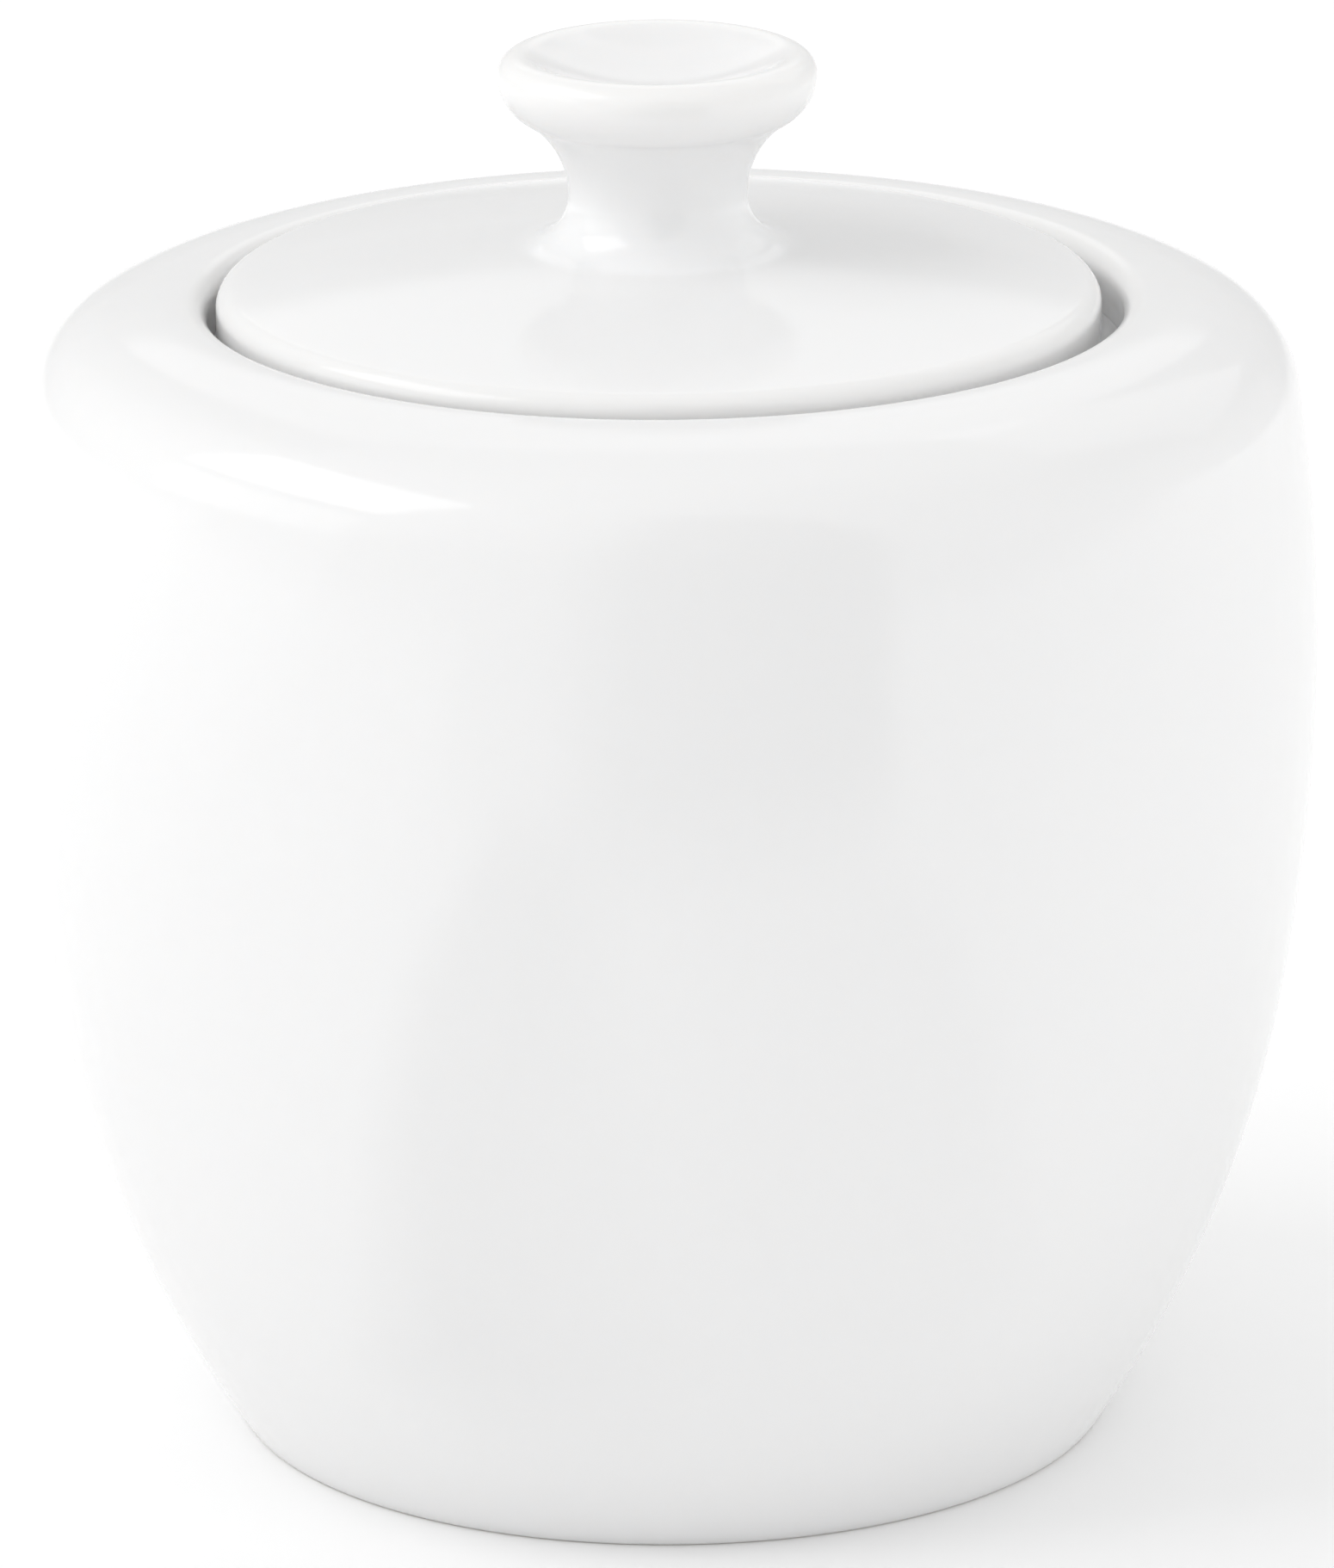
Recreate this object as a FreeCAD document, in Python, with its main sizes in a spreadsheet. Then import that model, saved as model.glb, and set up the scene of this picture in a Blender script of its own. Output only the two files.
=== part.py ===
# Lidded sugar bowl in glazed porcelain: a round-bellied bowl, a low domed lid that drops into
# the bowl's mouth, and a flared, dished knob joined to the middle of the lid.
#
# Frame: millimetres, +Z up, origin at the middle of the foot ring's resting plane.
# All three pieces are turned shapes, so each one is a half section revolved about its own
# vertical axis.  The lid and the knob are drawn from their own seating planes and placed.
import FreeCAD, Part
import math
import os

import Sketcher
from FreeCAD import Vector

SIZES = [
    # alias, value in mm, what it is
    ("rim_height", 80.3, "highest line of the bowl's rim above the table"),
    ("belly_radius", 45.0, "widest radius of the bowl"),
    ("belly_drop", 24.6, "drop from the rim to the widest line"),
    ("base_radius", 30.4, "outer radius of the foot ring"),
    ("flare_height", 30.4, "height where the foot's flare runs into the belly"),
    ("belly_arc", 139.3, "section radius just below the widest line"),
    ("upper_arc", 116.3, "section radius above the widest line"),
    ("shoulder_roll", 6.3, "section radius of the turn from the side to the shoulder"),
    ("shoulder_over", 3.5, "how far the shoulder's arc would run past the widest radius"),
    ("rim_roll", 1.5, "rounding of the rim into the mouth"),
    ("mouth_radius", 31.5, "radius of the mouth"),
    ("seat_depth", 4.0, "depth of the lid's seat below the rim"),
    ("seat_width", 4.1, "width of the seat ledge"),
    ("seat_thickness", 3.0, "thickness of the seat ledge"),
    ("seat_round", 0.5, "rounding of the seat ledge's inner edges"),
    ("wall", 3.2, "wall of the bowl"),
    ("floor_height", 5.0, "inside floor above the table"),
    ("floor_round", 10.0, "rounding between floor and wall"),
    ("under_round", 6.0, "rounding between wall and the underside of the seat"),
    ("foot_width", 2.6, "width of the foot ring"),
    ("foot_recess", 1.8, "height of the hollow inside the foot ring"),
    ("foot_round", 0.6, "rounding of the foot ring's edges"),
    ("recess_round", 0.9, "rounding inside the foot ring"),
    ("lid_gap", 1.1, "running clearance between lid and mouth, all round"),
    ("lid_shift", 0.45, "how far off centre the loose lid rests, towards -X"),
    ("lid_edge", 3.4, "height of the lid's upright edge above the seat"),
    ("lid_roll", 1.5, "rounding of the lid's upper edge"),
    ("lid_dome", 145.0, "section radius of the lid's dome"),
    ("lid_wall", 3.2, "thickness of the dome"),
    ("lid_chamfer", 0.6, "bevel of the lid's lower edge"),
    ("collar_gap", 1.0, "running clearance between collar and seat bore, all round"),
    ("collar_depth", 6.0, "length of the locating collar below the seat"),
    ("collar_wall", 2.8, "wall of the locating collar"),
    ("collar_round", 0.8, "rounding of the collar's lower edges"),
    ("neck_height", 11.0, "plane above the seat where the knob is joined to the lid"),
    ("neck_radius", 6.15, "radius of the knob's waist"),
    ("neck_arc", 6.4, "section radius of the knob's waist"),
    ("knob_radius", 10.95, "widest radius of the knob"),
    ("knob_widest", 8.4, "height of the knob's widest line above the joint"),
    ("knob_roll", 1.5, "rounding of the knob's rim"),
    ("knob_dish", 2.3, "depth of the dish in the knob's top"),
]

HORIZONTAL_AXIS, VERTICAL_AXIS = -1, -2
START, END, CENTRE = 1, 2, 3
FULL_TURN = 360.0

doc = FreeCAD.newDocument("sugar_bowl")
sheet = doc.addObject("Spreadsheet::Sheet", "dims")
for row, (alias, value, note) in enumerate(SIZES, start=1):
    sheet.set("A%d" % row, note)
    sheet.set("B%d" % row, str(value))
    sheet.setAlias("B%d" % row, alias)
doc.recompute()
size = {alias: float(sheet.get(alias)) for alias, _, _ in SIZES}


def origin_item(body, role):
    """The body's own origin plane or axis with this role."""
    return next(f for f in body.Origin.OriginFeatures if f.Role == role)


def new_body(name):
    body = doc.addObject("PartDesign::Body", name)
    body.Label = name
    return body


class Section:
    """A half section in the body's XZ plane: sketch X is the radius, sketch Y the height."""

    def __init__(self, body, name):
        self.sketch = body.newObject("Sketcher::SketchObject", name)
        self.sketch.AttachmentSupport = (origin_item(body, "XZ_Plane"), [""])
        self.sketch.MapMode = "FlatFace"

    def line(self, a, b):
        return self.sketch.addGeometry(Part.LineSegment(Vector(*a, 0), Vector(*b, 0)), False)

    def arc(self, a, centre, b):
        """The shorter arc from a to b about centre; the constraints then set it exactly."""
        first = math.atan2(a[1] - centre[1], a[0] - centre[0])
        sweep = math.atan2(b[1] - centre[1], b[0] - centre[0]) - first
        sweep = (sweep + math.pi) % (2 * math.pi) - math.pi
        radius = math.hypot(a[0] - centre[0], a[1] - centre[1])
        low, high = (first, first + sweep) if sweep > 0 else (first + sweep, first)
        circle = Part.Circle(Vector(*centre, 0), Vector(0, 0, 1), radius)
        geo = self.sketch.addGeometry(Part.ArcOfCircle(circle, low, high), False)
        begins, ends = (START, END) if sweep > 0 else (END, START)
        return geo, begins, ends

    def rule(self, kind, *where):
        return self.sketch.addConstraint(Sketcher.Constraint(kind, *where))

    def join(self, a, a_end, b, b_end):
        self.rule("Coincident", a, a_end, b, b_end)

    def smooth(self, a, a_end, b, b_end):
        self.rule("Tangent", a, a_end, b, b_end)

    def bind(self, kind, where, value, formula):
        index = self.rule(kind, *where, value)
        self.sketch.setExpression("Constraints[%d]" % index, formula)
        return index

    def radius_at(self, geo, point, value, formula):
        self.bind("DistanceX", (HORIZONTAL_AXIS, START, geo, point), value, formula)

    def height_at(self, geo, point, value, formula):
        self.bind("DistanceY", (HORIZONTAL_AXIS, START, geo, point), value, formula)

    def on_axis(self, geo, point):
        self.rule("PointOnObject", geo, point, VERTICAL_AXIS)

    def on_ground(self, geo, point):
        self.rule("PointOnObject", geo, point, HORIZONTAL_AXIS)

    def level(self, a, a_end, b, b_end):
        self.rule("Horizontal", a, a_end, b, b_end)

    def plumb(self, a, a_end, b, b_end):
        self.rule("Vertical", a, a_end, b, b_end)


def turn(body, section, name, kind):
    """Revolve (or cut by revolving) a section about its own vertical axis."""
    feature = body.newObject("PartDesign::" + kind, name)
    feature.Profile = section.sketch
    feature.ReferenceAxis = (section.sketch, ["V_Axis"])
    feature.Angle = FULL_TURN
    body.Tip = feature
    doc.recompute()
    return feature


def circles(feature, radius, height):
    """Names of the feature's circular edges of this radius at this height."""
    close = 1e-3
    found = []
    for number, edge in enumerate(feature.Shape.Edges, start=1):
        if edge.Degenerated or not isinstance(edge.Curve, Part.Circle):
            continue
        if (abs(edge.Curve.Radius - radius) < close
                and abs(edge.Curve.Center.z - height) < close):
            found.append("Edge%d" % number)
    return found


def round_edges(body, name, kind, places, field, formula):
    """Fillet or chamfer the circular edges found at the (radius, height) places."""
    base = body.Tip
    edges = [edge for radius, height in places for edge in circles(base, radius, height)]
    if len(edges) < len(places):
        raise RuntimeError("%s found %d of %d edges" % (name, len(edges), len(places)))
    feature = body.newObject("PartDesign::" + kind, name)
    feature.Base = (base, edges)
    feature.setExpression(field, formula)
    body.Tip = feature
    doc.recompute()
    if feature.Shape.isNull() or not feature.Shape.isValid():
        raise RuntimeError("%s did not build" % name)


def towards(start, goal, distance):
    """The point at this distance from start on the line to goal."""
    span = math.dist(start, goal)
    return (start[0] + (goal[0] - start[0]) * distance / span,
            start[1] + (goal[1] - start[1]) * distance / span)


def reach(radius, offset):
    """Half width of a circle of this radius at this offset from its centre."""
    return math.sqrt(radius ** 2 - offset ** 2)


def bowl_shell(body):
    """Outside of the bowl, filled in up to the seat of the lid."""
    s = Section(body, "bowl_section")
    rim_centre = (size["mouth_radius"] + size["rim_roll"], size["rim_height"] - size["rim_roll"])
    crest = (rim_centre[0], size["rim_height"])
    mouth = (size["mouth_radius"], rim_centre[1])
    seat = size["rim_height"] - size["seat_depth"]
    belly = (size["belly_radius"], size["rim_height"] - size["belly_drop"])
    low = (belly[0] - size["belly_arc"], belly[1])
    high = (belly[0] - size["upper_arc"], belly[1])
    shoulder_arc = belly[0] + size["shoulder_over"] - crest[0]
    top = (crest[0], crest[1] - shoulder_arc)
    foot = (size["base_radius"], 0)
    flare = (low[0] + reach(size["belly_arc"], belly[1] - size["flare_height"]),
             size["flare_height"])
    # the flare's arc leaves the belly arc without a kink and ends on the foot
    inward = towards((0, 0), (low[0] - flare[0], low[1] - flare[1]), 1)
    chord = (foot[0] - flare[0], foot[1] - flare[1])
    flare_arc = math.hypot(*chord) ** 2 / (2 * (inward[0] * chord[0] + inward[1] * chord[1]))
    flare_centre = towards(flare, low, flare_arc)
    # the shoulder's turn rolls inside both the upper arc and the shoulder arc
    near, far = shoulder_arc - size["shoulder_roll"], size["upper_arc"] - size["shoulder_roll"]
    between = math.dist(top, high)
    along = (far ** 2 - near ** 2 + between ** 2) / (2 * between)
    across = reach(far, along)
    foot_of = towards(high, top, along)
    turn_centre = (foot_of[0] - across * (top[1] - high[1]) / between,
                   foot_of[1] + across * (top[0] - high[0]) / between)
    side_end = towards(high, turn_centre, size["upper_arc"])
    turn_end = towards(top, turn_centre, shoulder_arc)

    base = s.line((0, 0), foot)
    a, a_in, a_out = s.arc(foot, flare_centre, flare)
    b, b_in, b_out = s.arc(flare, low, belly)
    c, c_in, c_out = s.arc(belly, high, side_end)
    d, d_in, d_out = s.arc(side_end, turn_centre, turn_end)
    e, e_in, e_out = s.arc(turn_end, top, crest)
    r, r_in, r_out = s.arc(crest, rim_centre, mouth)
    bore = s.line(mouth, (mouth[0], seat))
    ledge = s.line((mouth[0], seat), (0, seat))
    axis = s.line((0, seat), (0, 0))

    s.join(base, START, HORIZONTAL_AXIS, START)
    s.on_ground(base, END)
    s.join(base, END, a, a_in)
    s.smooth(a, a_out, b, b_in)
    s.join(b, b_out, c, c_in)
    s.smooth(c, c_out, d, d_in)
    s.smooth(d, d_out, e, e_in)
    s.join(e, e_out, r, r_in)
    s.join(r, r_out, bore, START)
    s.join(bore, END, ledge, START)
    s.join(ledge, END, axis, START)
    s.join(axis, END, HORIZONTAL_AXIS, START)
    s.rule("Vertical", bore)
    s.rule("Horizontal", ledge)
    s.rule("Vertical", axis)
    s.level(b, CENTRE, b, b_out)
    s.level(c, CENTRE, c, c_in)
    s.plumb(e, CENTRE, e, e_out)
    s.plumb(r, CENTRE, r, r_in)
    s.level(r, CENTRE, r, r_out)
    s.radius_at(base, END, foot[0], "dims.base_radius")
    s.height_at(b, b_in, flare[1], "dims.flare_height")
    s.radius_at(b, b_out, belly[0], "dims.belly_radius")
    s.height_at(b, b_out, belly[1], "dims.rim_height - dims.belly_drop")
    s.bind("Radius", (b,), size["belly_arc"], "dims.belly_arc")
    s.bind("Radius", (c,), size["upper_arc"], "dims.upper_arc")
    s.bind("Radius", (d,), size["shoulder_roll"], "dims.shoulder_roll")
    s.bind("Radius", (e,), shoulder_arc,
           "dims.belly_radius + dims.shoulder_over - dims.mouth_radius - dims.rim_roll")
    s.bind("Radius", (r,), size["rim_roll"], "dims.rim_roll")
    s.radius_at(bore, START, mouth[0], "dims.mouth_radius")
    s.height_at(e, e_out, crest[1], "dims.rim_height")
    s.height_at(ledge, START, seat, "dims.rim_height - dims.seat_depth")
    # a measured size, which the inside wall follows
    measured = s.rule("Radius", a, flare_arc)
    s.sketch.setDriving(measured, False)
    s.sketch.renameConstraint(measured, "flare_arc")
    doc.recompute()
    turn(body, s, "bowl_outside", "Revolution")
    return flare_arc


def bowl_hollow(body, flare_arc):
    """Inside of the bowl: floor, wall and the seat ledge with its bore."""
    s = Section(body, "hollow_section")
    wall = size["wall"]
    seat = size["rim_height"] - size["seat_depth"]
    above = size["rim_height"] - size["seat_depth"] / 2
    under = seat - size["seat_thickness"]
    bore = size["mouth_radius"] - size["seat_width"]
    belly = (size["belly_radius"] - wall, size["rim_height"] - size["belly_drop"])
    low = (size["belly_radius"] - size["belly_arc"], belly[1])
    high = (size["belly_radius"] - size["upper_arc"], belly[1])
    low_arc, high_arc, inner_flare = size["belly_arc"] - wall, size["upper_arc"] - wall, flare_arc - wall
    flare = (low[0] + reach(low_arc, belly[1] - size["flare_height"]), size["flare_height"])
    flare_centre = towards(flare, low, inner_flare)
    cove_height = size["floor_height"] + size["floor_round"]
    cove = (flare_centre[0] + reach(inner_flare - size["floor_round"], cove_height - flare_centre[1]),
            cove_height)
    cove_end = towards(flare_centre, cove, inner_flare)
    roof_height = under - size["under_round"]
    roof = (high[0] + reach(high_arc - size["under_round"], roof_height - high[1]), roof_height)
    roof_start = towards(high, roof, high_arc)

    floor = s.line((0, size["floor_height"]), (cove[0], size["floor_height"]))
    f, f_in, f_out = s.arc((cove[0], size["floor_height"]), cove, cove_end)
    a, a_in, a_out = s.arc(cove_end, flare_centre, flare)
    b, b_in, b_out = s.arc(flare, low, belly)
    c, c_in, c_out = s.arc(belly, high, roof_start)
    g, g_in, g_out = s.arc(roof_start, roof, (roof[0], under))
    shelf = s.line((roof[0], under), (bore, under))
    side = s.line((bore, under), (bore, above))
    lid_side = s.line((bore, above), (0, above))
    axis = s.line((0, above), (0, size["floor_height"]))

    s.smooth(floor, END, f, f_in)
    s.smooth(f, f_out, a, a_in)
    s.smooth(a, a_out, b, b_in)
    s.join(b, b_out, c, c_in)
    s.smooth(c, c_out, g, g_in)
    s.smooth(g, g_out, shelf, START)
    s.join(shelf, END, side, START)
    s.join(side, END, lid_side, START)
    s.join(lid_side, END, axis, START)
    s.join(axis, END, floor, START)
    s.on_axis(floor, START)
    for flat in (floor, shelf, lid_side):
        s.rule("Horizontal", flat)
    for upright in (side, axis):
        s.rule("Vertical", upright)
    s.level(b, CENTRE, b, b_out)
    s.level(c, CENTRE, c, c_in)
    s.height_at(floor, START, size["floor_height"], "dims.floor_height")
    s.bind("Radius", (f,), size["floor_round"], "dims.floor_round")
    s.bind("Radius", (a,), inner_flare, "bowl_section.Constraints.flare_arc - dims.wall * 1 mm")
    s.height_at(b, b_in, flare[1], "dims.flare_height")
    s.bind("Radius", (b,), low_arc, "dims.belly_arc - dims.wall")
    s.radius_at(b, b_out, belly[0], "dims.belly_radius - dims.wall")
    s.height_at(b, b_out, belly[1], "dims.rim_height - dims.belly_drop")
    s.bind("Radius", (c,), high_arc, "dims.upper_arc - dims.wall")
    s.bind("Radius", (g,), size["under_round"], "dims.under_round")
    s.height_at(shelf, END, under, "dims.rim_height - dims.seat_depth - dims.seat_thickness")
    s.radius_at(shelf, END, bore, "dims.mouth_radius - dims.seat_width")
    s.height_at(lid_side, END, above, "dims.rim_height - dims.seat_depth / 2")
    doc.recompute()
    turn(body, s, "bowl_inside", "Groove")


def foot_hollow(body):
    """The shallow hollow that leaves a foot ring to stand on."""
    s = Section(body, "foot_section")
    inner, depth = size["base_radius"] - size["foot_width"], size["foot_recess"]
    below = s.line((0, -depth), (inner, -depth))
    side = s.line((inner, -depth), (inner, depth))
    roof = s.line((inner, depth), (0, depth))
    axis = s.line((0, depth), (0, -depth))
    s.join(below, END, side, START)
    s.join(side, END, roof, START)
    s.join(roof, END, axis, START)
    s.join(axis, END, below, START)
    s.on_axis(below, START)
    for flat in (below, roof):
        s.rule("Horizontal", flat)
    for upright in (side, axis):
        s.rule("Vertical", upright)
    s.radius_at(roof, START, inner, "dims.base_radius - dims.foot_width")
    s.height_at(roof, END, depth, "dims.foot_recess")
    s.bind("DistanceY", (below, START, HORIZONTAL_AXIS, START), depth, "dims.foot_recess")
    doc.recompute()
    turn(body, s, "foot_inside", "Groove")


def make_bowl():
    body = new_body("bowl_body")
    bowl_hollow(body, bowl_shell(body))
    foot_hollow(body)
    ring = size["base_radius"] - size["foot_width"]
    bore = size["mouth_radius"] - size["seat_width"]
    seat = size["rim_height"] - size["seat_depth"]
    round_edges(body, "recess_corner", "Fillet", [(ring, size["foot_recess"])],
                "Radius", "dims.recess_round")
    round_edges(body, "foot_edges", "Fillet", [(size["base_radius"], 0), (ring, 0)],
                "Radius", "dims.foot_round")
    round_edges(body, "seat_edges", "Fillet",
                [(bore, seat), (bore, seat - size["seat_thickness"])],
                "Radius", "dims.seat_round")
    return body


def make_lid():
    """Lid with its domed top, collar underneath and the flared root of the neck."""
    body = new_body("lid")
    s = Section(body, "lid_section")
    radius = size["mouth_radius"] - size["lid_gap"]
    collar = size["mouth_radius"] - size["seat_width"] - size["collar_gap"]
    inside = collar - size["collar_wall"]
    roll = (radius - size["lid_roll"], size["lid_edge"])
    dome = (0, roll[1] - reach(size["lid_dome"] - size["lid_roll"], roll[0]))
    edge_top = towards(dome, roll, size["lid_dome"])
    neck = (size["neck_radius"], size["neck_height"])
    rise = neck[1] - dome[1]
    root_arc = ((neck[0] ** 2 + rise ** 2 - size["lid_dome"] ** 2)
                / (2 * (size["lid_dome"] - neck[0])))
    root = (neck[0] + root_arc, neck[1])
    root_end = towards(dome, root, size["lid_dome"])
    inner_dome = size["lid_dome"] - size["lid_wall"]
    inner_edge = (inside, dome[1] + reach(inner_dome, inside))
    inner_top = (0, dome[1] + inner_dome)

    joint = s.line((0, neck[1]), neck)
    n, n_in, n_out = s.arc(neck, root, root_end)
    t, t_in, t_out = s.arc(root_end, dome, edge_top)
    r, r_in, r_out = s.arc(edge_top, roll, (radius, roll[1]))
    edge = s.line((radius, roll[1]), (radius, 0))
    seat = s.line((radius, 0), (collar, 0))
    outer = s.line((collar, 0), (collar, -size["collar_depth"]))
    tip = s.line((collar, -size["collar_depth"]), (inside, -size["collar_depth"]))
    inner = s.line((inside, -size["collar_depth"]), inner_edge)
    u, u_in, u_out = s.arc(inner_edge, dome, inner_top)
    axis = s.line(inner_top, (0, neck[1]))

    s.join(joint, END, n, n_in)
    s.smooth(n, n_out, t, t_in)
    s.smooth(t, t_out, r, r_in)
    s.join(r, r_out, edge, START)
    s.join(edge, END, seat, START)
    s.join(seat, END, outer, START)
    s.join(outer, END, tip, START)
    s.join(tip, END, inner, START)
    s.join(inner, END, u, u_in)
    s.join(u, u_out, axis, START)
    s.join(axis, END, joint, START)
    s.on_axis(joint, START)
    s.on_axis(t, CENTRE)
    s.on_ground(seat, END)
    s.join(u, CENTRE, t, CENTRE)
    s.level(n, CENTRE, n, n_in)
    s.level(r, CENTRE, r, r_out)
    for flat in (joint, seat, tip):
        s.rule("Horizontal", flat)
    for upright in (edge, outer, inner, axis):
        s.rule("Vertical", upright)
    lid_radius = "dims.mouth_radius - dims.lid_gap"
    collar_radius = "dims.mouth_radius - dims.seat_width - dims.collar_gap"
    s.radius_at(joint, END, neck[0], "dims.neck_radius")
    s.height_at(joint, START, neck[1], "dims.neck_height")
    s.bind("Radius", (t,), size["lid_dome"], "dims.lid_dome")
    s.bind("Radius", (r,), size["lid_roll"], "dims.lid_roll")
    s.radius_at(edge, START, radius, lid_radius)
    s.height_at(edge, START, roll[1], "dims.lid_edge")
    s.radius_at(seat, END, collar, collar_radius)
    s.bind("DistanceY", (tip, START, HORIZONTAL_AXIS, START), size["collar_depth"],
           "dims.collar_depth")
    s.radius_at(tip, END, inside, collar_radius + " - dims.collar_wall")
    s.bind("Radius", (u,), inner_dome, "dims.lid_dome - dims.lid_wall")
    doc.recompute()
    turn(body, s, "lid_turned", "Revolution")
    round_edges(body, "collar_edges", "Fillet",
                [(collar, -size["collar_depth"]), (inside, -size["collar_depth"])],
                "Radius", "dims.collar_round")
    round_edges(body, "lower_edge", "Chamfer", [(radius, 0)], "Size", "dims.lid_chamfer")
    body.setExpression("Placement.Base.x", "-dims.lid_shift")
    body.setExpression("Placement.Base.z", "dims.rim_height - dims.seat_depth")
    return body


def make_knob():
    """Knob with its waist at the joint, flaring to a rolled rim round a dished top."""
    body = new_body("lid_knob")
    s = Section(body, "knob_section")
    waist = (size["neck_radius"], 0)
    waist_centre = (waist[0] + size["neck_arc"], 0)
    widest = (size["knob_radius"], size["knob_widest"])
    lean = waist_centre[0] - widest[0]
    under_arc = ((lean ** 2 + widest[1] ** 2 - size["neck_arc"] ** 2)
                 / (2 * (size["neck_arc"] - lean)))
    under = (widest[0] - under_arc, widest[1])
    flare = towards(waist_centre, under, size["neck_arc"])
    roll = (widest[0] - size["knob_roll"], widest[1])
    low = widest[1] + size["knob_roll"] - size["knob_dish"]
    drop = widest[1] - low
    dish_arc = (roll[0] ** 2 + drop ** 2 - size["knob_roll"] ** 2) / (2 * size["knob_dish"])
    dish = (0, low + dish_arc)
    lip = towards(roll, dish, size["knob_roll"])

    joint = s.line((0, 0), waist)
    n, n_in, n_out = s.arc(waist, waist_centre, flare)
    v, v_in, v_out = s.arc(flare, under, widest)
    r, r_in, r_out = s.arc(widest, roll, lip)
    p, p_in, p_out = s.arc(lip, dish, (0, low))
    axis = s.line((0, low), (0, 0))

    s.join(joint, START, HORIZONTAL_AXIS, START)
    s.on_ground(joint, END)
    s.join(joint, END, n, n_in)
    s.smooth(n, n_out, v, v_in)
    s.join(v, v_out, r, r_in)
    s.smooth(r, r_out, p, p_in)
    s.join(p, p_out, axis, START)
    s.join(axis, END, HORIZONTAL_AXIS, START)
    s.rule("Vertical", axis)
    s.on_axis(p, CENTRE)
    s.level(n, CENTRE, n, n_in)
    s.level(v, CENTRE, v, v_out)
    s.level(r, CENTRE, r, r_in)
    s.radius_at(joint, END, waist[0], "dims.neck_radius")
    s.bind("Radius", (n,), size["neck_arc"], "dims.neck_arc")
    s.radius_at(v, v_out, widest[0], "dims.knob_radius")
    s.height_at(v, v_out, widest[1], "dims.knob_widest")
    s.bind("Radius", (r,), size["knob_roll"], "dims.knob_roll")
    s.height_at(axis, START, low, "dims.knob_widest + dims.knob_roll - dims.knob_dish")
    doc.recompute()
    turn(body, s, "knob_turned", "Revolution")
    body.setExpression("Placement.Base.x", "-dims.lid_shift")
    body.setExpression("Placement.Base.z", "dims.rim_height - dims.seat_depth + dims.neck_height")
    return body


bodies = [make_bowl(), make_lid(), make_knob()]
doc.recompute()

for item in doc.Objects:
    if "Invalid" in item.State or "Error" in item.State:
        raise RuntimeError("%s did not compute: %s" % (item.Name, item.State))
    if item.TypeId == "Sketcher::SketchObject" and not item.FullyConstrained:
        raise RuntimeError("%s is not fully constrained" % item.Name)
for body in bodies:
    if body.Shape.isNull() or not body.Shape.isValid() or len(body.Shape.Solids) != 1:
        raise RuntimeError("%s has no single sound solid" % body.Label)

os.makedirs("parts", exist_ok=True)
for body in bodies:
    body.Shape.exportStep("parts/%s.step" % body.Label)
    box = body.Shape.BoundBox
    print("%-10s %10.1f mm3  z %.2f to %.2f" % (body.Label, body.Shape.Volume, box.ZMin, box.ZMax))
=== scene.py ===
# Looks of the lidded sugar bowl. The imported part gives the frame, and the two fired pieces, the
# bowl and the lid with its knob, are turned again here as fine meshes. Then come their glaze and
# bare clay, and the studio.
import math

import bpy
import numpy as np
from mathutils import Matrix, Vector


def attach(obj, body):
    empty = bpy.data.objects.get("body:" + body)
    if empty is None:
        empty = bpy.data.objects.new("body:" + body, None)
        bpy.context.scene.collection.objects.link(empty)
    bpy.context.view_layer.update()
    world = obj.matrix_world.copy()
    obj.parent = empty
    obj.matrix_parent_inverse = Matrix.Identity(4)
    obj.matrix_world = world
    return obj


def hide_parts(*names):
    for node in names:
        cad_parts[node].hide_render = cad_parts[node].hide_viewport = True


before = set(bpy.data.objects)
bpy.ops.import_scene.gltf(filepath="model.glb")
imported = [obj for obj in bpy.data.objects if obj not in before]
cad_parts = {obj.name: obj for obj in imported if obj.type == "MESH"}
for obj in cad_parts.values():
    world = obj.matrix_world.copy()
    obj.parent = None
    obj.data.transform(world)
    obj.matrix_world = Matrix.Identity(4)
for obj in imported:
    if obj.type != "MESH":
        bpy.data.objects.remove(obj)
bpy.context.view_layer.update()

MM = 0.001
SEGMENTS = 192          # around each turned piece
# Distance between the points of an outline, in millimetres, for its flat, broad and fine parts.
FLAT_STEP, INSIDE_STEP, BROAD_STEP, LID_STEP = 1.0, 0.9, 0.5, 0.4
DOME_STEP, SHOULDER_STEP, KNOB_STEP, FINE_STEP = 0.3, 0.25, 0.2, 0.12
FEWEST_ARC_POINTS = 6
GLAZE_FLOW = 0.9        # how far, in millimetres, the glaze draws back from an edge
GLAZE_PULL = 1.3        # radius, in millimetres, at which the glaze is at its thinnest
CLAY_HEIGHT = 0.15      # how far above a resting face the clay is left bare

# Sizes in millimetres, the same as the part's own sheet.
RIM_HEIGHT = 80.3
BELLY_RADIUS, BELLY_DROP = 45.0, 24.6
BASE_RADIUS = 30.4
FLARE_HEIGHT = 30.4
BELLY_ARC, UPPER_ARC = 139.3, 116.3
SHOULDER_ROLL, SHOULDER_OVER = 6.3, 3.5
RIM_ROLL, MOUTH_RADIUS = 1.5, 31.5
SEAT_DEPTH, SEAT_WIDTH, SEAT_THICKNESS, SEAT_ROUND = 4.0, 4.1, 3.0, 0.5
WALL, FLOOR_HEIGHT, FLOOR_ROUND, UNDER_ROUND = 3.2, 5.0, 10.0, 6.0
FOOT_WIDTH, FOOT_RECESS, FOOT_ROUND, RECESS_ROUND = 2.6, 1.8, 0.6, 0.9
LID_GAP, LID_SHIFT = 1.1, 0.45
LID_EDGE, LID_ROLL, LID_DOME, LID_WALL, LID_CHAMFER = 3.4, 1.5, 145.0, 3.2, 0.6
COLLAR_GAP, COLLAR_DEPTH, COLLAR_WALL, COLLAR_ROUND = 1.0, 6.0, 2.8, 0.8
NECK_HEIGHT, NECK_RADIUS, NECK_ARC = 11.0, 6.15, 6.4
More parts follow.
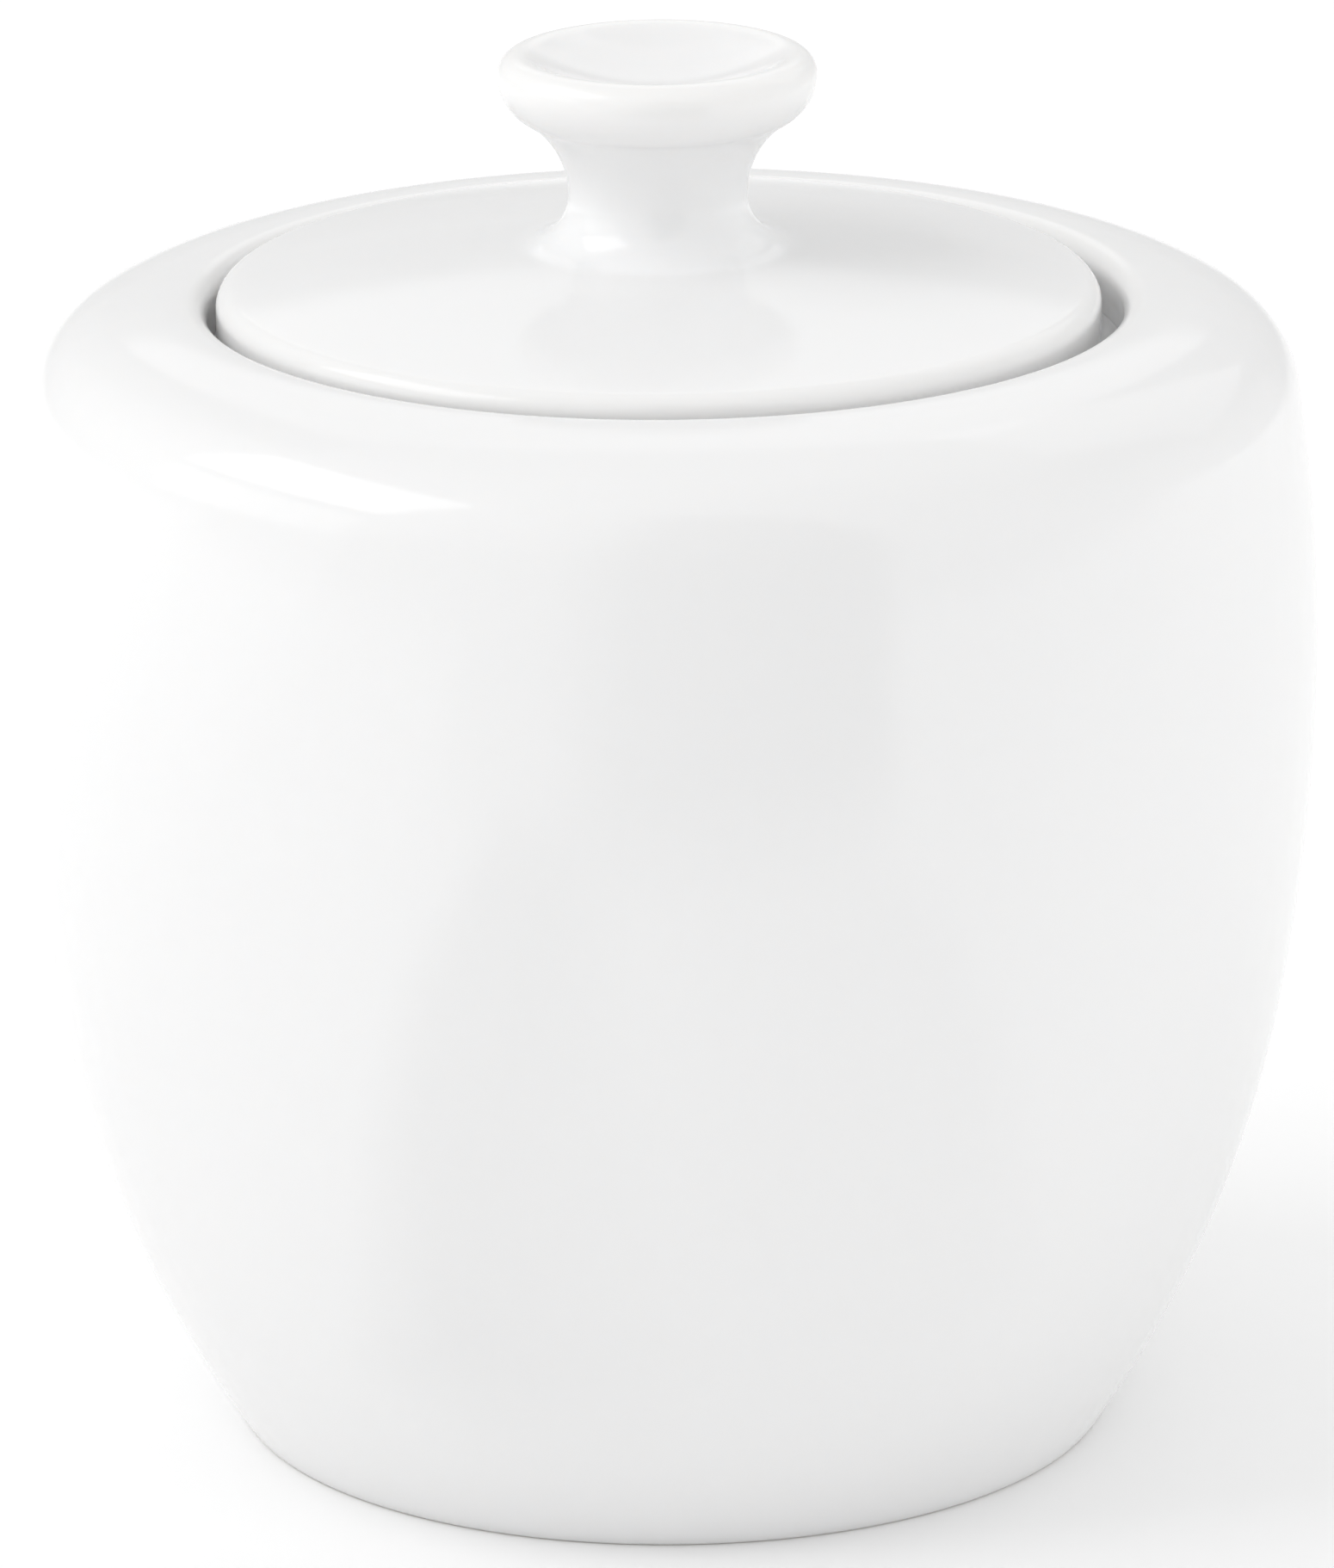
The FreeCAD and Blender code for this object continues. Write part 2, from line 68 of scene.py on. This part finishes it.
KNOB_RADIUS, KNOB_WIDEST, KNOB_ROLL, KNOB_DISH = 10.95, 8.4, 1.5, 2.3
SEAT = RIM_HEIGHT - SEAT_DEPTH
BELLY_HEIGHT = RIM_HEIGHT - BELLY_DROP
SHOULDER_ARC = BELLY_RADIUS + SHOULDER_OVER - MOUTH_RADIUS - RIM_ROLL


# ---------------------------------------------------------------- outlines of the turned pieces

def towards(start, goal, distance):
    span = math.dist(start, goal)
    return (start[0] + (goal[0] - start[0]) * distance / span,
            start[1] + (goal[1] - start[1]) * distance / span)


def reach(radius, offset):
    return math.sqrt(radius ** 2 - offset ** 2)


class Outline:
    """A line of (radius, height) points that is drawn with straight runs and arcs."""

    def __init__(self, start, step):
        self.points = [tuple(start)]
        self.step = step

    def to(self, point):
        a = self.points[-1]
        count = max(1, round(math.dist(a, point) / self.step))
        for i in range(1, count + 1):
            self.points.append((a[0] + (point[0] - a[0]) * i / count,
                                a[1] + (point[1] - a[1]) * i / count))
        return self

    def arc(self, centre, point):
        a = self.points[-1]
        first = math.atan2(a[1] - centre[1], a[0] - centre[0])
        sweep = math.atan2(point[1] - centre[1], point[0] - centre[0]) - first
        sweep = (sweep + math.pi) % (2 * math.pi) - math.pi
        radius = math.dist(a, centre)
        count = max(FEWEST_ARC_POINTS, round(abs(sweep) * radius / self.step))
        for i in range(1, count + 1):
            angle = first + sweep * i / count
            self.points.append((centre[0] + radius * math.cos(angle),
                                centre[1] + radius * math.sin(angle)))
        return self

    def rounded(self, corner, after, radius):
        """Straight towards a corner, then round it towards the point after it."""
        a = self.points[-1]
        u = Vector((a[0] - corner[0], a[1] - corner[1])).normalized()
        v = Vector((after[0] - corner[0], after[1] - corner[1])).normalized()
        half = u.angle(v) / 2
        back = radius / math.tan(half)
        middle = (u + v).normalized() * (radius / math.sin(half))
        self.to((corner[0] + u.x * back, corner[1] + u.y * back))
        return self.arc((corner[0] + middle.x, corner[1] + middle.y),
                        (corner[0] + v.x * back, corner[1] + v.y * back))


def bowl_outline():
    """From the middle of the underside, round the outside and the rim, to the inside floor."""
    belly = (BELLY_RADIUS, BELLY_HEIGHT)
    low, high = (belly[0] - BELLY_ARC, belly[1]), (belly[0] - UPPER_ARC, belly[1])
    crest = (MOUTH_RADIUS + RIM_ROLL, RIM_HEIGHT)
    top = (crest[0], crest[1] - SHOULDER_ARC)
    flare = (low[0] + reach(BELLY_ARC, belly[1] - FLARE_HEIGHT), FLARE_HEIGHT)
    foot = (BASE_RADIUS, 0.0)
    inward = towards((0, 0), (low[0] - flare[0], low[1] - flare[1]), 1)
    chord = (foot[0] - flare[0], foot[1] - flare[1])
    flare_arc = math.hypot(*chord) ** 2 / (2 * (inward[0] * chord[0] + inward[1] * chord[1]))
    flare_centre = towards(flare, low, flare_arc)
    near, far = SHOULDER_ARC - SHOULDER_ROLL, UPPER_ARC - SHOULDER_ROLL
    between = math.dist(top, high)
    along = (far ** 2 - near ** 2 + between ** 2) / (2 * between)
    across = reach(far, along)
    base = towards(high, top, along)
    turn = (base[0] - across * (top[1] - high[1]) / between,
            base[1] + across * (top[0] - high[0]) / between)

    ring = BASE_RADIUS - FOOT_WIDTH
    line = Outline((0.0, FOOT_RECESS), FLAT_STEP)
    line.rounded((ring, FOOT_RECESS), (ring, 0.0), RECESS_ROUND)
    line.step = FINE_STEP
    line.rounded((ring, 0.0), foot, FOOT_ROUND)
    # the foot's outer edge, rounded between the flat ring and the flare's arc
    inner = flare_arc - FOOT_ROUND
    edge = (flare_centre[0] + reach(inner, flare_centre[1] - FOOT_ROUND), FOOT_ROUND)
    line.to((edge[0], 0.0))
    line.arc(edge, towards(flare_centre, edge, flare_arc))
    line.step = BROAD_STEP
    line.arc(flare_centre, flare).arc(low, belly).arc(high, towards(high, turn, UPPER_ARC))
    line.step = SHOULDER_STEP
    line.arc(turn, towards(top, turn, SHOULDER_ARC)).arc(top, crest)
    line.step = FINE_STEP
    line.arc((crest[0], crest[1] - RIM_ROLL), (MOUTH_RADIUS, crest[1] - RIM_ROLL))
    bore = MOUTH_RADIUS - SEAT_WIDTH
    under = SEAT - SEAT_THICKNESS
    line.to((MOUTH_RADIUS, SEAT))
    line.rounded((bore, SEAT), (bore, under), SEAT_ROUND)
    low_arc, high_arc, inner_flare = BELLY_ARC - WALL, UPPER_ARC - WALL, flare_arc - WALL
    inside = (belly[0] - WALL, belly[1])
    roof_height = under - UNDER_ROUND
    roof = (high[0] + reach(high_arc - UNDER_ROUND, roof_height - high[1]), roof_height)
    line.rounded((bore, under), (roof[0], under), SEAT_ROUND)
    line.step = INSIDE_STEP
    line.to((roof[0], under)).arc(roof, towards(high, roof, high_arc)).arc(high, inside)
    inner_bend = (low[0] + reach(low_arc, belly[1] - FLARE_HEIGHT), FLARE_HEIGHT)
    inner_centre = towards(inner_bend, low, inner_flare)
    cove_height = FLOOR_HEIGHT + FLOOR_ROUND
    cove = (inner_centre[0] + reach(inner_flare - FLOOR_ROUND, cove_height - inner_centre[1]),
            cove_height)
    line.arc(low, inner_bend).arc(inner_centre, towards(inner_centre, cove, inner_flare))
    line.arc(cove, (cove[0], FLOOR_HEIGHT)).to((0.0, FLOOR_HEIGHT))
    return line.points


def knob_outline(neck):
    """From the middle of the dish, over the rim and under it, down to the waist."""
    waist = (NECK_RADIUS + NECK_ARC, neck[1])
    widest = (KNOB_RADIUS, neck[1] + KNOB_WIDEST)
    lean = waist[0] - widest[0]
    under_arc = (lean ** 2 + KNOB_WIDEST ** 2 - NECK_ARC ** 2) / (2 * (NECK_ARC - lean))
    under = (widest[0] - under_arc, widest[1])
    roll = (widest[0] - KNOB_ROLL, widest[1])
    low = widest[1] + KNOB_ROLL - KNOB_DISH
    dish_arc = (roll[0] ** 2 + (widest[1] - low) ** 2 - KNOB_ROLL ** 2) / (2 * KNOB_DISH)
    dish = (0.0, low + dish_arc)
    line = Outline((0.0, low), KNOB_STEP)
    line.arc(dish, towards(roll, dish, KNOB_ROLL))
    line.arc(roll, widest).arc(under, towards(waist, under, NECK_ARC)).arc(waist, neck)
    return line


def lid_outline():
    """Lid and knob in one, as they are fired: from the middle of the underside to the dish."""
    radius = MOUTH_RADIUS - LID_GAP
    collar = MOUTH_RADIUS - SEAT_WIDTH - COLLAR_GAP
    inside = collar - COLLAR_WALL
    roll = (radius - LID_ROLL, LID_EDGE)
    dome = (0.0, roll[1] - reach(LID_DOME - LID_ROLL, roll[0]))
    neck = (NECK_RADIUS, NECK_HEIGHT)
    rise = neck[1] - dome[1]
    root_arc = (neck[0] ** 2 + rise ** 2 - LID_DOME ** 2) / (2 * (LID_DOME - neck[0]))
    root = (neck[0] + root_arc, neck[1])
    inner_dome = LID_DOME - LID_WALL
    line = knob_outline(neck)
    line.arc(root, towards(dome, root, LID_DOME))
    line.step = DOME_STEP
    line.arc(dome, towards(dome, roll, LID_DOME))
    line.step = FINE_STEP
    line.arc(roll, (radius, roll[1])).to((radius, LID_CHAMFER)).to((radius - LID_CHAMFER, 0.0))
    line.step = LID_STEP
    line.to((collar, 0.0))
    line.rounded((collar, -COLLAR_DEPTH), (inside, -COLLAR_DEPTH), COLLAR_ROUND)
    line.rounded((inside, -COLLAR_DEPTH), (inside, 0.0), COLLAR_ROUND)
    line.to((inside, dome[1] + reach(inner_dome, inside)))
    line.arc(dome, (0.0, dome[1] + inner_dome))
    return line.points[::-1]


def edge_sharpness(rings):
    """How sharply the outline turns at each point: 1 on a crisp edge, -1 in a tight hollow."""
    p = np.array(rings)
    step = np.diff(p, axis=0)
    length = np.hypot(*step.T)
    heading = np.unwrap(np.arctan2(step[:, 1], step[:, 0]))
    turn = np.concatenate([[0], np.diff(heading), [0]])
    along = np.concatenate([[0], np.cumsum(length)])
    reach_of = np.exp(-((along[:, None] - along[None, :]) / GLAZE_FLOW) ** 2)
    spread = math.sqrt(math.pi) * GLAZE_FLOW
    return np.clip(reach_of @ turn / spread * GLAZE_PULL, -1, 1)


def turned(name, outline, place):
    """A closed mesh: the outline turned about the vertical axis through place."""
    rings = [p for p in outline if p[0] > 1e-6]
    count = len(rings)
    angles = np.arange(SEGMENTS) * (2 * math.pi / SEGMENTS)
    r = np.array([p[0] for p in rings])[:, None]
    z = np.array([p[1] for p in rings])[:, None]
    xyz = np.stack([r * np.cos(angles), r * np.sin(angles), z + 0 * angles], -1).reshape(-1, 3)
    xyz = np.concatenate([xyz, [[0, 0, outline[0][1]], [0, 0, outline[-1][1]]]]) * MM
    faces = []
    for i in range(count - 1):
        for j in range(SEGMENTS):
            k = (j + 1) % SEGMENTS
            faces.append((i * SEGMENTS + j, i * SEGMENTS + k,
                          (i + 1) * SEGMENTS + k, (i + 1) * SEGMENTS + j))
    first, last = count * SEGMENTS, count * SEGMENTS + 1
    for j in range(SEGMENTS):
        k = (j + 1) % SEGMENTS
        faces.append((first, k, j))
        faces.append((last, (count - 1) * SEGMENTS + j, (count - 1) * SEGMENTS + k))
    mesh = bpy.data.meshes.new(name)
    mesh.from_pydata((xyz + np.array(place) * MM).tolist(), [], faces)
    mesh.validate()
    mesh.polygons.foreach_set("use_smooth", [True] * len(mesh.polygons))
    sharp = np.concatenate([np.repeat(edge_sharpness(rings), SEGMENTS), [0, 0]])
    mesh.attributes.new("edge_sharpness", "FLOAT", "POINT").data.foreach_set("value", sharp)
    mesh.update()
    obj = bpy.data.objects.new(name, mesh)
    bpy.context.scene.collection.objects.link(obj)
    return obj


bowl = turned("bowl_glazed", bowl_outline(), (0, 0, 0))
lid = turned("lid_glazed", lid_outline(), (-LID_SHIFT, 0, SEAT))


# ---------------------------------------------------------------- materials

# Linear colours. The glaze drifts between the first two over the clouds.
GLAZE_LOW, GLAZE_HIGH = (0.794, 0.794, 0.795), (0.806, 0.806, 0.806)
GLAZE_DEEP, GLAZE_THIN = (0.846, 0.848, 0.850), (0.800, 0.797, 0.790)
CLAY_DARK, CLAY_PALE, CLAY_RUBBED = (0.70, 0.685, 0.655), (0.80, 0.79, 0.765), (0.60, 0.59, 0.57)
# Edge sharpness over which the glaze goes from its usual depth to its deepest or thinnest.
DEEPENING, THINNING, DULLING = (-0.03, -0.35), (0.25, 1.0), (0.3, 1.0)
# Scales of the noises: one over the width of a cloud, patch, wave and so on, in metres.
CLOUDS, PATCHES, WAVES, RIPPLE = 40.0, 260.0, 90.0, 900.0
RINGS = (25.0, 25.0, 480.0)
CLAY_GRAIN, CLAY_RUB = 2600.0, 110.0
# Heights of the surface's waves, ripple, turning rings and grain, in metres.
WAVE_HEIGHT, RIPPLE_HEIGHT, RING_HEIGHT, GRAIN_HEIGHT = 1.2e-5, 7e-7, 9e-7, 1.5e-5
GLOSS = (0.10, 0.14)    # roughness of the glaze, from patch to patch
EDGE_DULLING = 0.05     # what a thin edge adds to it


def shader(name):
    material = bpy.data.materials.new(name)
    material.use_nodes = True
    tree = material.node_tree
    return material, tree, tree.nodes["Principled BSDF"]


def add(tree, kind, links=(), **settings):
    """A new node: settings go to its properties or sockets, links feed its inputs."""
    node = tree.nodes.new(kind)
    for key, value in settings.items():
        if hasattr(node, key):
            setattr(node, key, value)
        else:
            node.inputs[key.replace("_", " ")].default_value = value
    for socket, source in dict(links).items():
        tree.links.new(source, node.inputs[socket])
    return node


def span(tree, source, low, high, start=0.0, end=1.0):
    """Map a value from start..end to low..high."""
    node = add(tree, "ShaderNodeMapRange", {"Value": source})
    for socket, value in (("From Min", start), ("From Max", end),
                          ("To Min", low), ("To Max", high)):
        node.inputs[socket].default_value = value
    return node.outputs["Result"]


def blend(tree, factor, first, second):
    """A colour between two; each is a colour or a socket."""
    node = add(tree, "ShaderNodeMix", data_type="RGBA")
    tree.links.new(factor, node.inputs["Factor"])
    for socket, value in ((node.inputs[6], first), (node.inputs[7], second)):
        if isinstance(value, tuple):
            socket.default_value = (*value, 1)
        else:
            tree.links.new(value, socket)
    return node.outputs[2]


def noise(tree, place, scale, detail=2.0, roughness=0.5):
    return add(tree, "ShaderNodeTexNoise", {"Vector": place}, Scale=scale, Detail=detail,
               Roughness=roughness).outputs["Fac"]


def white_glaze():
    """Glossy white glaze: thin and a little warmer on the edges, whitest where it is deep."""
    material, tree, bsdf = shader("white_glaze")
    place = add(tree, "ShaderNodeTexCoord").outputs["Object"]
    sharp = add(tree, "ShaderNodeAttribute", attribute_name="edge_sharpness").outputs["Fac"]
    # colour: a clean neutral white that drifts by about a hundredth
    white = blend(tree, noise(tree, place, CLOUDS), GLAZE_LOW, GLAZE_HIGH)
    pooled = blend(tree, span(tree, sharp, 0.0, 1.0, *DEEPENING), white, GLAZE_DEEP)
    colour = blend(tree, span(tree, sharp, 0.0, 1.0, *THINNING), pooled, GLAZE_THIN)
    tree.links.new(colour, bsdf.inputs["Base Color"])
    # gloss: a little softer where the glaze is thin and in patches a few millimetres wide
    patch = span(tree, noise(tree, place, PATCHES, 3.0), *GLOSS, 0.3, 0.7)
    thin = span(tree, sharp, 0.0, EDGE_DULLING, *DULLING)
    gloss = add(tree, "ShaderNodeMath", {0: patch, 1: thin}, operation="ADD").outputs["Value"]
    tree.links.new(gloss, bsdf.inputs["Roughness"])
    # surface: slow waves from the drying body, a fine ripple of the melt, faint turning rings
    waves = add(tree, "ShaderNodeBump", {"Height": noise(tree, place, WAVES)},
                Distance=WAVE_HEIGHT)
    ripple = add(tree, "ShaderNodeBump", {"Height": noise(tree, place, RIPPLE),
                                          "Normal": waves.outputs["Normal"]},
                 Distance=RIPPLE_HEIGHT)
    flat = add(tree, "ShaderNodeMapping", {"Vector": place}, Scale=RINGS)
    rings = add(tree, "ShaderNodeBump", {"Height": noise(tree, flat.outputs["Vector"], 1.0),
                                         "Normal": ripple.outputs["Normal"]},
                Distance=RING_HEIGHT)
    tree.links.new(rings.outputs["Normal"], bsdf.inputs["Normal"])
    bsdf.inputs["IOR"].default_value = 1.5
    bsdf.inputs["Subsurface Weight"].default_value = 0.5
    bsdf.inputs["Subsurface Radius"].default_value = (1.0, 0.95, 0.9)
    bsdf.inputs["Subsurface Scale"].default_value = 0.0025
    return material


def bare_clay():
    """The body itself, where the piece stands in the kiln: matt, fine-grained, a little rubbed."""
    material, tree, bsdf = shader("bare_clay")
    place = add(tree, "ShaderNodeTexCoord").outputs["Object"]
    grain = noise(tree, place, CLAY_GRAIN, 4.0, 0.6)
    rub = noise(tree, place, CLAY_RUB, 3.0)
    clay = blend(tree, grain, CLAY_DARK, CLAY_PALE)
    colour = blend(tree, span(tree, rub, 0.0, 0.35, 0.55, 0.75), clay, CLAY_RUBBED)
    tree.links.new(colour, bsdf.inputs["Base Color"])
    tree.links.new(span(tree, rub, 0.85, 0.62, 0.4, 0.8), bsdf.inputs["Roughness"])
    bump = add(tree, "ShaderNodeBump", {"Height": grain}, Distance=GRAIN_HEIGHT)
    tree.links.new(bump.outputs["Normal"], bsdf.inputs["Normal"])
    return material


def unglazed(piece, low, high, inner, outer, axis):
    """Give the faces between two heights and two radii the bare clay."""
    for face in piece.data.polygons:
        height = face.center.z / MM
        radius = math.hypot(face.center.x / MM - axis, face.center.y / MM)
        if low <= height <= high and inner <= radius <= outer:
            face.material_index = 1


glaze, clay = white_glaze(), bare_clay()
for piece in (bowl, lid):
    piece.data.materials.append(glaze)
    piece.data.materials.append(clay)
unglazed(bowl, -0.01, CLAY_HEIGHT, BASE_RADIUS - FOOT_WIDTH, BASE_RADIUS, 0)
unglazed(lid, SEAT - CLAY_HEIGHT, SEAT + CLAY_HEIGHT, MOUTH_RADIUS - SEAT_WIDTH - COLLAR_GAP,
         MOUTH_RADIUS - LID_GAP, -LID_SHIFT)

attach(bowl, "bowl")
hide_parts("bowl_body")
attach(lid, "lid")
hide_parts("lid", "lid_knob")


# ---------------------------------------------------------------- studio

FLOOR_REACH = 3         # from the middle of the floor to its edge, in metres
FLOOR_LOW, FLOOR_HIGH = (0.960, 0.960, 0.960), (0.970, 0.970, 0.970)

floor_mesh = bpy.data.meshes.new("studio_floor")
floor_mesh.from_pydata([(x * FLOOR_REACH, y * FLOOR_REACH, 0)
                        for x, y in ((-1, -1), (1, -1), (1, 1), (-1, 1))], [], [(0, 1, 2, 3)])
floor = bpy.data.objects.new("studio_floor", floor_mesh)
bpy.context.scene.collection.objects.link(floor)
floor_material, tree, bsdf = shader("studio_floor")
place = add(tree, "ShaderNodeTexCoord").outputs["Object"]
tree.links.new(blend(tree, noise(tree, place, 3.0), FLOOR_LOW, FLOOR_HIGH),
               bsdf.inputs["Base Color"])
bsdf.inputs["Roughness"].default_value = 0.9
floor_mesh.materials.append(floor_material)

# Painted shade, seen only in the glaze: an upright card and a flat sheet in front, both outside
# the picture and hidden from every camera, so that only the reflections in the glaze see them.
# The grey and the black of the painted shade that the glaze reflects.
PAINTED_SHADE_GREY, PAINTED_SHADE_BLACK = (0.66, 0.66, 0.66), (0.03, 0.03, 0.03)
CARD_FADE = 0.018       # half the width of the change between the two, in metres
CARD_THIN = 0.20        # the share of a card, from its outline in, that thins out to nothing
CARD_PLANE = -160       # where the upright card stands, in millimetres
FLOOR_SHADE_HEIGHT = 0.2      # how far the sheet of painted floor shade lies above the floor, in millimetres


def painted_shade_card(name, outline, facing, core):
    """A soft-edged flat card of painted shade: grey at its left, black right of the line from
    core[0] to core[1].
    """
    rim = np.array(outline) * MM
    middle = rim.mean(axis=0)
    inner = middle + (rim - middle) * (1 - CARD_THIN)
    count = len(rim)
    faces = [(i, (i + 1) % count, count + (i + 1) % count, count + i) for i in range(count)]
    faces += [(2 * count, count + i, count + (i + 1) % count) for i in range(count)]
    mesh = bpy.data.meshes.new(name)
    mesh.from_pydata(np.vstack([rim, inner, middle]).tolist(), [], faces)
    cover = mesh.attributes.new("cover", "FLOAT", "POINT")
    cover.data.foreach_set("value", [0.0] * count + [1.0] * (count + 1))
    card = bpy.data.objects.new(name, mesh)
    bpy.context.scene.collection.objects.link(card)
    material, tree, bsdf = shader(name)
    place = add(tree, "ShaderNodeTexCoord").outputs["Object"]
    start, end = Vector(core[0]) * MM, Vector(core[1]) * MM
    across = (end - start).cross(Vector(facing)).normalized()
    side = add(tree, "ShaderNodeVectorMath", {"Vector": place}, operation="DOT_PRODUCT")
    side.inputs[1].default_value = across
    edge = across.dot(start)
    # Painted shade: black on one side of the core line, grey on the other.
    black = span(tree, side.outputs["Value"], 0.0, 1.0, edge - CARD_FADE, edge + CARD_FADE)
    tree.links.new(blend(tree, black, PAINTED_SHADE_GREY, PAINTED_SHADE_BLACK), bsdf.inputs["Base Color"])
    thinning = add(tree, "ShaderNodeAttribute", attribute_name="cover").outputs["Fac"]
    tree.links.new(thinning, bsdf.inputs["Alpha"])
    bsdf.inputs["Roughness"].default_value = 1.0
    bsdf.inputs["Specular IOR Level"].default_value = 0.0
    mesh.materials.append(material)
    card.visible_camera = card.visible_shadow = card.visible_diffuse = False


def upright(*points):
    return [(x, CARD_PLANE, z) for x, z in points]


def lying(*points):
    return [(x, y, FLOOR_SHADE_HEIGHT) for x, y in points]


# Painted reflection of the studio's dark front, standing before the bowl.
painted_shade_card("painted_front_shade",
         upright((-124, 1), (122, 1), (122, 115), (92, 185), (44, 240), (-44, 240), (-82, 185),
                 (-106, 78)),
         (0, -1, 0), upright((-43, 0), (-32, 70)))
# Painted reflection of the shade on the floor in front of the bowl.
painted_shade_card("painted_floor_shade",
         lying((-33, -28), (0, -36), (46, -26), (68, -40), (92, -66), (110, -112), (126, -250),
               (-128, -250), (-90, -99), (-66, -58)),
         (0, 0, 1), lying((-8, -33), (-38, -188)))

SKY = 0.725             # strength of the even white light from all round
world = bpy.data.worlds.new("studio")
world.use_nodes = True
background = world.node_tree.nodes["Background"]
background.inputs["Color"].default_value = (1, 1, 1, 1)
background.inputs["Strength"].default_value = SKY
bpy.context.scene.world = world


def softbox(name, place, normal, width, height, glow, reflected):
    """A rectangle of even glow, hidden from the camera; glow is relative to a white sky."""
    light = bpy.data.lights.new(name, "AREA")
    light.shape = "RECTANGLE"
    light.size, light.size_y = width, height
    light.energy = glow * math.pi * width * height
    box = bpy.data.objects.new(name, light)
    bpy.context.scene.collection.objects.link(box)
    box.location = place
    box.rotation_euler = normal.to_track_quat("-Z", "Y").to_euler()
    box.visible_camera = False
    box.visible_glossy = reflected


# All but the window card stand a metre from LIT. Only the reflected ones show in the glaze.
LIT = Vector((0, 0, 0.05))
SOFTBOXES = [
    # name, degrees round from the front towards the right, degrees up, width, height (metres),
    # glow, reflected
    ("key", -80, 15, 0.80, 0.40, 0.66, True),
    ("key_high", -80, 45, 0.80, 0.44, 2.05, True),
    ("key_high_fill", -80, 45, 0.80, 0.44, 1.25, False),
    ("front_low_fill", 0, 10, 0.90, 0.25, 1.77, False),
    ("right_front_fill", 58, 15, 0.50, 0.50, 0.90, False),
    ("right_fill", 100, 15, 0.60, 0.40, 1.60, False),
    ("right_high_fill", 100, 45, 0.70, 0.44, 0.40, False),
    ("left_back_fill", -130, 35, 0.70, 0.60, 0.60, False),
    ("back", 180, 38, 0.60, 0.60, 0.36, True),
    ("right_back", 135, 38, 0.60, 0.60, 0.35, True),
]
for name, round_deg, up_deg, width, height, glow, reflected in SOFTBOXES:
    turn, rise = math.radians(round_deg), math.radians(up_deg)
    outward = Vector((math.sin(turn) * math.cos(rise), -math.cos(turn) * math.cos(rise),
                      math.sin(rise)))
    softbox(name, LIT + outward, -outward, width, height, glow, reflected)
softbox("window_card", Vector((0.30, 0.20, 0.095)), Vector((-1, 0, 0)), 0.40, 0.19, 0.08, True)


# ---------------------------------------------------------------- camera

# Fitted to the photograph's outline: metres, and millimetres for the lens and its sensor.
TILT = math.radians(17.378)
ROLL = math.radians(-0.409)
DISTANCE = 0.7735
AIM = Vector((-0.000115, 0, 0.044915))
LENS, SENSOR = 255.2, 36.0
NEAREST, FURTHEST = 0.01, 20
back = Vector((0, -math.cos(TILT), math.sin(TILT)))
right, up = Vector((1, 0, 0)), Vector((0, math.sin(TILT), math.cos(TILT)))
camera_data = bpy.data.cameras.new("camera")
camera_data.lens, camera_data.sensor_width = LENS, SENSOR
camera_data.clip_start, camera_data.clip_end = NEAREST, FURTHEST
camera = bpy.data.objects.new("camera", camera_data)
bpy.context.scene.collection.objects.link(camera)
rolled_right = right * math.cos(ROLL) + up * math.sin(ROLL)
rolled_up = up * math.cos(ROLL) - right * math.sin(ROLL)
camera.matrix_world = Matrix.Translation(AIM + back * DISTANCE) @ Matrix(
    (rolled_right, rolled_up, back)).transposed().to_4x4()
bpy.context.scene.camera = camera
bpy.context.scene.view_settings.view_transform = "Standard"
